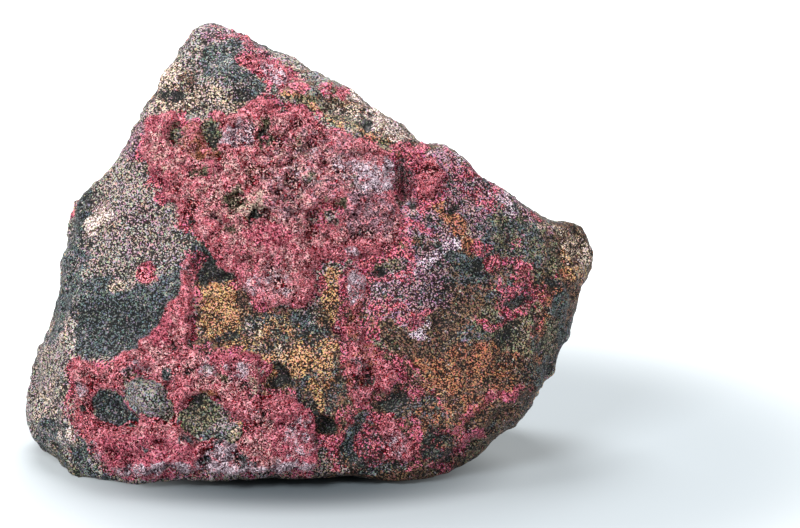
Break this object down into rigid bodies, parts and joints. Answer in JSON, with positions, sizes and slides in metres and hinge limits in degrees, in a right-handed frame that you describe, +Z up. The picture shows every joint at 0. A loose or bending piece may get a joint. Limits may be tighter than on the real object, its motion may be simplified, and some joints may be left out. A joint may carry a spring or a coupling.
{
  "type": "erythrite mineral specimen",
  "caption": "Hand-sized block of dark broken host rock with crimson to pink crusts of erythrite on its leaning front face and a flat broken base to rest on.",
  "frame": {"origin": "on the resting plane, under the middle of the whole specimen's extents", "axes": "+Z up, +X to the right as the display face is seen, +Y away from that face into the rock; the display face looks along -Y and leans back about 15 degrees"},
  "size_m": [0.113, 0.0685, 0.0848],
  "materials": {
    "host_rock": "matte, broken, grainy",
    "erythrite_crimson": "velvety, finely crystalline",
    "erythrite_rose": "velvety, finely crystalline",
    "erythrite_magenta": "dull, earthy"
  },
  "bodies": {
    "root": {"host_rock": "host_rock", "crust_upper": "erythrite_crimson", "crust_lower": "erythrite_crimson", "crust_right": "erythrite_rose", "crust_magenta": "erythrite_magenta", "crust_corner": "erythrite_crimson", "crust_top_edge": "erythrite_rose", "crust_top_knob": "erythrite_rose", "crust_rosette": "erythrite_rose"}
  },
  "joints": []
}
